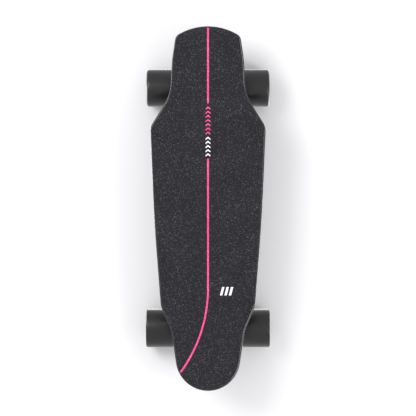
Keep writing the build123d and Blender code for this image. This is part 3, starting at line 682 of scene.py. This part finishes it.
def section(line, i):
    """Right half of one closed cross-section, from the middle of the underside round to the top."""
    here = line[i]
    ahead = (line[min(i + 1, len(line) - 1)] - line[max(i - 1, 0)]).normalized()
    inward = Vector((ahead.y, -ahead.x))
    if i in (0, len(line) - 1):
        inward = Vector((0, -1 if i == 0 else 1))
    inner = here + inward * EDGE_BAND[0]
    hub = Vector((0, min(max(inner.y, FAN_REAR), FAN_FRONT)))
    ray = hub - inner
    reach = ray.length
    ray.normalize()
    slant = max(ray.dot(inward), FLATTEST)
    ring = []
    for out in spread_columns(reach):
        spot = inner + ray * (reach - out)
        edge = EDGE_BAND[0] + (reach - out) * slant
        ring.append((spot.x, spot.y, bottom_z(spot.x, spot.y, edge)))
    for edge in EDGE_BAND[1:]:
        spot = here + inward * edge
        lift = EDGE_R - math.sqrt(max(EDGE_R**2 - max(EDGE_R - edge, 0) ** 2, 0))
        ring.append((spot.x, spot.y, bottom_z(spot.x, spot.y, edge) + lift))
    low = ring[-1][2]
    high = top_z(here.y) - RIM_SECTION[0][1]
    for share in SIDE_SHARES:
        ring.append((here.x, here.y, low + (high - low) * share))
    for edge, drop in RIM_SECTION:
        spot = here + inward * edge
        ring.append((spot.x, spot.y, top_z(spot.y) - drop))
    widest = BAY_HALF + BAY_MARGIN
    bay = BAY_REAR < inner.y < BAY_FRONT and reach > widest
    for out in INNER_COLUMNS:
        spot = inner + ray * (reach - (out if reach > widest else reach * out / widest))
        z = BAY_Z if bay and out < BAY_HALF else top_z(spot.y) - RECESS
        ring.append((spot.x, spot.y, z))
    return ring


def hull_body():
    """The whole hull as one closed skin, lofted through its cross-sections.

    Its surfaces sweep and blend in every direction, which extrudes and bevels can't follow."""
    line = outline_points()
    rows = [section(line, i) for i in stations(line)]
    verts, rings = [], []
    for row in rows:
        ring = []
        for x, y, z in row:
            ring.append(len(verts))
            verts.append((x * MM, y * MM, z * MM))
        for x, y, z in row[-2:0:-1]:
            ring.append(len(verts))
            verts.append((-x * MM, y * MM, z * MM))
        rings.append(ring)
    faces = []
    for near, far in zip(rings, rings[1:]):
        for k in range(len(near)):
            j = (k + 1) % len(near)
            faces.append((near[k], near[j], far[j], far[k]))
    mesh = bpy.data.meshes.new("hull_body")
    mesh.from_pydata(verts, [], faces)
    piece = bpy.data.objects.new("hull_body", mesh)
    bpy.context.collection.objects.link(piece)
    pick(piece)
    bpy.ops.object.mode_set(mode="EDIT")
    bpy.ops.mesh.select_all(action="SELECT")
    bpy.ops.mesh.remove_doubles(threshold=2e-5)
    bpy.ops.mesh.normals_make_consistent(inside=False)
    bpy.ops.object.mode_set(mode="OBJECT")
    return piece


def hull():
    """Hull with its holes: port and button with their flanges' seats, truck inserts and screws."""
    body = hull_body()
    holes = []
    for x, y in (PORT, BUTTON):
        holes.append(rod(x, y, FLANGE_Z - 0.04, BAY_Z + 2, SOCKET_R))
        holes.append(rod(x, y, FLANGE_Z - 7, FLANGE_Z, FLANGE_R))
    for x, y in TRUCK_BOLTS:
        holes.append(rod(x, y, MOUNT_Z - 2, MOUNT_Z + 6, INSERT_R, 32))
    for x, y in PANEL_SCREWS:
        holes.append(rod(x, y, top_z(y) - 14, top_z(y) - 3, PILOT_R, 16))
    holes.append(rod(0, CLAMP_Y, MOUNT_Z - 2, MOUNT_Z + 6, PILOT_R, 16))
    for tool in holes:
        cut(body, tool)
    smooth(body, 60)
    return named(body, "hull_body", FINISH["hull"], "hull", "deck", "hull_shell")


hull()


# ---------------------------------------------------------------- trucks
CASTING_GRAIN = 0.85         # edges of a casting are rounded off at about this size


def cast(node, name, body):
    """Cast and coated piece: the CAD shape with the soft edges that a casting has."""
    piece = cad_copy(node)
    modify(piece, "REMESH", mode="VOXEL", voxel_size=CASTING_GRAIN * MM, use_smooth_shade=True)
    modify(piece, "SMOOTH", factor=0.5, iterations=6)
    return named(piece, name, FINISH["truck_black"], "truck_black", body, node)


cast("front_hanger", "front_hanger_casting", "front_hanger")
cast("rear_hanger", "rear_hanger_casting", "rear_hanger")
cast("front_baseplate", "front_baseplate_casting", "deck")
cast("rear_baseplate", "rear_baseplate_casting", "deck")


def eased(node, name, width, body):
    """Machined piece: the CAD shape with its edges broken."""
    piece = cad_copy(node)
    bpy.ops.object.mode_set(mode="EDIT")
    bpy.ops.mesh.select_all(action="SELECT")
    bpy.ops.mesh.dissolve_limited(angle_limit=math.radians(1.5))
    bpy.ops.object.mode_set(mode="OBJECT")
    bevelled(piece, width, 2, 35)
    smooth(piece, 40)
    return named(piece, name, FINISH[SLOTS[node]], SLOTS[node], body, node)


eased("kingpin_nuts", "kingpin_nuts_chamfered", 0.7, "deck")
eased("riser_pads", "riser_pads_moulded", 0.5, "deck")
eased("front_axle_nuts", "front_axle_nuts_chamfered", 0.45, "front_hanger")


# ---------------------------------------------------------------- wheels
# Profiles are (distance from the board's middle, radius) points of the right-hand wheels.
CORE_R = 24.0                # the front tyre is cast on the core at this radius
CORE_INNER, CORE_OUTER = 63.2, 113.9    # the core's two ends at that radius
BEARING_R = 11.05            # seat of a front bearing
CAN_R, CAN_FIT = 31.5, 0.05  # the rear motor's can, and the sleeve's play on it
NOTCHES = 8                  # round the end bell
NOTCH_X, NOTCH_R, NOTCH_SIZE = 64.8, 24.2, (3.2, 4.2, 3.2)


def front_tyre():
    """Rounded tread, a raised lip round the face, and the bowl's outer part."""
    profile = [(119, 30)] + arc(119.2, 30.8, 0.8, -60, 90, 4) + [(118.9, 32.4)]
    profile += arc(114.5, 31.0, 5.5, 18, 90, 8)
    profile += arc(65.5, 31.0, 5.5, 90, 162, 8) + [(61.1, 32.4)] + arc(60.8, 30.8, 0.8, 90, 240, 4)
    profile += [(61, 30), (CORE_INNER, CORE_R), (CORE_OUTER, CORE_R)]
    return lathe(profile, FRONT_AXLE)


def front_core():
    """Bowl and hub: a shallow dish to the bearing seat, with a step before the bearing."""
    profile = [(CORE_OUTER, CORE_R), (104.6, 13.6), (103.6, 12.6), (103.6, 11.8), (103, BEARING_R),
               (96, BEARING_R), (96, 9.5), (75, 9.5), (75, BEARING_R), (68, BEARING_R), (67.2, 11.8),
               (67, 12.6), (CORE_INNER, CORE_R)]
    return bevelled(lathe(profile, FRONT_AXLE), 0.35, 2, 20)


def rear_tyre():
    """Urethane sleeve over the motor, rolled over at the open edge to hold the cap."""
    bore = CAN_R + CAN_FIT
    profile = [(67, bore)] + arc(70, 34.5, 3, 180, 90) + arc(118, 34.5, 3, 90, 0)
    profile += arc(119.6, 30.0, 1.4, 0, -90, 4) + [(118 + CAN_FIT, 28.6), (118 + CAN_FIT, bore)]
    return lathe(profile, REAR_AXLE)


def motor_can():
    """Rotor: steel sleeve and the satin cap that closes the wheel."""
    profile = [(67, 29), (67, CAN_R), (118, CAN_R), (118, 28.5), (119.2, 28.5), (120.2, 28.1), (120.7, 27.2),
               (120.7, 6), (120.5, 0.02), (117, 0.02), (117, 9), (113, 9), (113, 11), (106, 11),
               (106, 14.5), (115, 14.5), (115, 29)]
    return lathe(profile, REAR_AXLE)


def end_bell():
    """Bright turned end of the motor, notched round its edge."""
    profile = [(59.5, 19.5), (59.9, 20.3), (60.9, 21.2), (66.2, 23.9), (67, 24.6), (67.05, 29),
               (71, 29), (71, 27), (69, 25), (69, 13.2), (67, 13.2), (67, 13), (61, 13), (61, 11.5),
               (59.5, 11.5)]
    piece = lathe(profile, REAR_AXLE)
    for i in range(NOTCHES):
        turn = math.radians((i + 0.5) * 360 / NOTCHES)
        y = REAR_AXLE[0] + NOTCH_R * math.cos(turn)
        z = REAR_AXLE[1] + NOTCH_R * math.sin(turn)
        deselect()
        bpy.ops.mesh.primitive_cube_add(size=1, location=(NOTCH_X * MM, y * MM, z * MM))
        tool = bpy.context.object
        tool.scale = [side * MM for side in NOTCH_SIZE]
        tool.rotation_euler = (turn, 0, 0)
        cut(piece, settle(tool))
    return piece


def wheels():
    """Each turned piece of the right-hand wheels, and its mirror image on the left."""
    pieces = [
        ("front", "tyre", front_tyre, "urethane", 35), ("front", "core", front_core, "core", 30),
        ("rear", "tyre", rear_tyre, "urethane", 35), ("rear", "motor_can", motor_can, "motor", 35),
        ("rear", "end_bell", end_bell, "silver", 35),
    ]
    for end, node, make, slot, degrees in pieces:
        right = smooth(make(), degrees)
        left = mirrored(right)
        for side, piece in (("right", right), ("left", left)):
            named(piece, f"{end}_{side}_{node}_turned", FINISH[slot], slot, f"{end}_{side}_wheel",
                  f"{end}_{side}_{node}")


wheels()


# ---------------------------------------------------------------- bushings
STEER_ANGLE = math.radians(50)
RING_HALF = 4.5              # half the thickness of the hanger's ring, which the bushings clasp
BUSHING_T, BUSHING_R, KINGPIN_R = 14.0, 11.5, 4.75
PLAY = 0.02                  # between a bushing's ends and what they bear on
FRONT_RING, REAR_RING = (240.8, 55.5), (-246.0, 56.5)


def bushing(end, place, ring, sign):
    """Barrel-shaped bushing on the kingpin."""
    out = Vector((0, sign * math.sin(STEER_ANGLE), -math.cos(STEER_ANGLE)))
    if place == "top":
        out.negate()
    bulge = [(RING_HALF + BUSHING_T * i / 8, BUSHING_R - 0.3 * (i / 4 - 1) ** 2) for i in range(1, 8)]
    near, far = RING_HALF + PLAY, RING_HALF + BUSHING_T - PLAY
    bore, face, edge = KINGPIN_R + 0.05, BUSHING_R - 1.1, BUSHING_R - 0.5
    profile = [(near, bore), (near, face), (near + 0.4, edge)] + bulge
    profile += [(far - 0.4, edge), (far, face), (far, bore)]
    piece = lathe(profile, (0, 0), 64)
    centre = Vector((0, *ring)) * MM
    turn = Vector((1, 0, 0)).rotation_difference(out).to_matrix().to_4x4()
    piece.data.transform(Matrix.Translation(centre) @ turn)
    smooth(piece, 50)
    named(piece, f"{end}_bushing_{place}_cast", FINISH["bushing"], "bushing", None, f"{end}_bushing_{place}")
    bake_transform(piece)


for place in ("top", "bottom"):
    bushing("front", place, FRONT_RING, 1)
    bushing("rear", place, REAR_RING, -1)


# ---------------------------------------------------------------- motor cables
CABLE_R = 2.5
# Route of the left-hand lead: out of the bay, under the clamp, round the base plate, to the hanger.
ROUTE = [(-6, -160, 100.1), (-6, -184, 100.1), (-22, -190, 100), (-34, -197, 97), (-37, -210, 86),
         (-31, -222, 68), (-24, -229, 53), (-23.2, -230, 48.5)]


def motor_cable(side, sign):
    """Motor lead from the bay to the rear truck. Sign is 1 on the right, -1 on the left."""
    curve = bpy.data.curves.new(f"{side}_motor_lead", "CURVE")
    curve.dimensions = "3D"
    curve.bevel_depth = CABLE_R * MM
    curve.bevel_resolution = 5
    curve.resolution_u = 10
    curve.use_fill_caps = True
    line = curve.splines.new("NURBS")
    line.points.add(len(ROUTE) - 1)
    for point, (x, y, z) in zip(line.points, ROUTE):
        point.co = (-sign * x * MM, y * MM, z * MM, 1)
    line.order_u = 3
    line.use_endpoint_u = True
    lead = bpy.data.objects.new(curve.name, curve)
    bpy.context.collection.objects.link(lead)
    pick(lead)
    bpy.ops.object.convert(target="MESH")
    lead = smooth(bpy.context.object, 40)
    named(lead, f"{side}_motor_lead", FINISH["rubber"], "rubber", None, f"{side}_motor_cable")
    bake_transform(lead)


motor_cable("left", -1)
motor_cable("right", 1)


# ---------------------------------------------------------------- printed marks
PRINT_LIFT, PRINT_SINK = 0.12, 0.05     # how far the ink stands above the tape, and reaches into it
MARK_STEP = 8.0


def printed(shapes, name, finish):
    """Ink patches laid on the tape, following the deck's curve."""
    made = []
    for corners in shapes:
        deselect()
        bpy.ops.mesh.primitive_circle_add(vertices=len(corners), radius=1, fill_type="NGON")
        patch = bpy.context.object
        for vertex, (x, y) in zip(patch.data.vertices, corners):
            vertex.co = (x * MM, y * MM, (top_z(y) - PRINT_SINK) * MM)
        bpy.ops.object.mode_set(mode="EDIT")
        bpy.ops.mesh.select_all(action="SELECT")
        bpy.ops.mesh.extrude_region_move(
            TRANSFORM_OT_translate={"value": (0, 0, (PRINT_LIFT + PRINT_SINK) * MM)})
        bpy.ops.mesh.select_all(action="SELECT")
        bpy.ops.mesh.normals_make_consistent(inside=False)
        bpy.ops.object.mode_set(mode="OBJECT")
        made.append(patch)
    return named(joined(made), name, finish, "stripe", "deck")


def chevron(y, half=4.6, arm=2.6, rise=3.4):
    return [(-half, y), (0, y + rise), (half, y), (half, y + arm), (0, y + rise + arm), (-half, y + arm)]


def slanted_bar(x, y=-168, width=4.4, slant=4.2, height=16):
    return [(x, y), (x + width, y), (x + width + slant, y + height), (x + slant, y + height)]


printed([chevron(141 + MARK_STEP * i) for i in range(7)], "pink_chevrons", FINISH["stripe"])
printed([chevron(99 + MARK_STEP * i) for i in range(5)], "white_chevrons", PRINT)
printed([slanted_bar(x) for x in (23, 31.5, 40)], "white_slanted_bars", PRINT)


# ---------------------------------------------------------------- floor, lights, camera
def floor():
    """Pale matt floor, clear from below, so that the underside can be seen."""
    deselect()
    bpy.ops.mesh.primitive_plane_add(size=8, location=(0, 0, 0))
    ground = bpy.context.object
    ground.name = "floor"
    made, tree, shader, _ = start("pale_matt_floor", "#e6e6e8", 0.9)
    below = add(tree, "ShaderNodeNewGeometry").outputs["Backfacing"]
    clear = add(tree, "ShaderNodeBsdfTransparent")
    mixed = add(tree, "ShaderNodeMixShader", {0: below, 1: shader.outputs[0], 2: clear.outputs[0]})
    output = next(n for n in tree.nodes if n.type == "OUTPUT_MATERIAL")
    tree.links.new(mixed.outputs[0], output.inputs["Surface"])
    paint(ground, made)
    ground.visible_glossy = ground.visible_diffuse = ground.visible_shadow = False


def softbox(name, place, target, size, power):
    lamp = bpy.data.lights.new(name, "AREA")
    lamp.shape = "RECTANGLE"
    lamp.size, lamp.size_y = size
    lamp.energy = power
    holder = bpy.data.objects.new(name, lamp)
    bpy.context.collection.objects.link(holder)
    holder.location = place
    holder.rotation_euler = (Vector(target) - Vector(place)).to_track_quat("-Z", "Y").to_euler()


def studio():
    world = bpy.data.worlds.new("studio")
    world.use_nodes = True
    world.node_tree.nodes["Background"].inputs["Color"].default_value = linear("#fbfbfc")
    world.node_tree.nodes["Background"].inputs["Strength"].default_value = 1.0
    bpy.context.scene.world = world
    softbox("overhead_left", (-1.5, 0.9, 2.1), (0, 0, 0.1), (1.2, 1.4), 40)
    softbox("overhead_right", (1.7, -0.6, 1.8), (0, 0, 0.1), (0.6, 1.6), 18)
    softbox("below_wide", (0.3, 0.9, -3.2), (0, 0.1, 0.1), (2.2, 1.6), 38)
    softbox("below_left", (-1.5, 0.2, -1.0), (0, 0, 0.1), (0.5, 1.8), 26)
    softbox("below_right", (1.5, -0.3, -1.2), (0, 0, 0.1), (0.5, 1.8), 18)


def camera():
    eye = bpy.data.cameras.new("overhead")
    eye.sensor_width = 36
    distance, view_height = 4.0, 0.8
    eye.lens = eye.sensor_width * (distance - DECK_TOP * MM) / view_height
    holder = bpy.data.objects.new("overhead", eye)
    bpy.context.collection.objects.link(holder)
    holder.location = (0, 0, distance)
    bpy.context.scene.camera = holder


floor()
studio()
camera()
bpy.context.scene.view_settings.view_transform = "Standard"
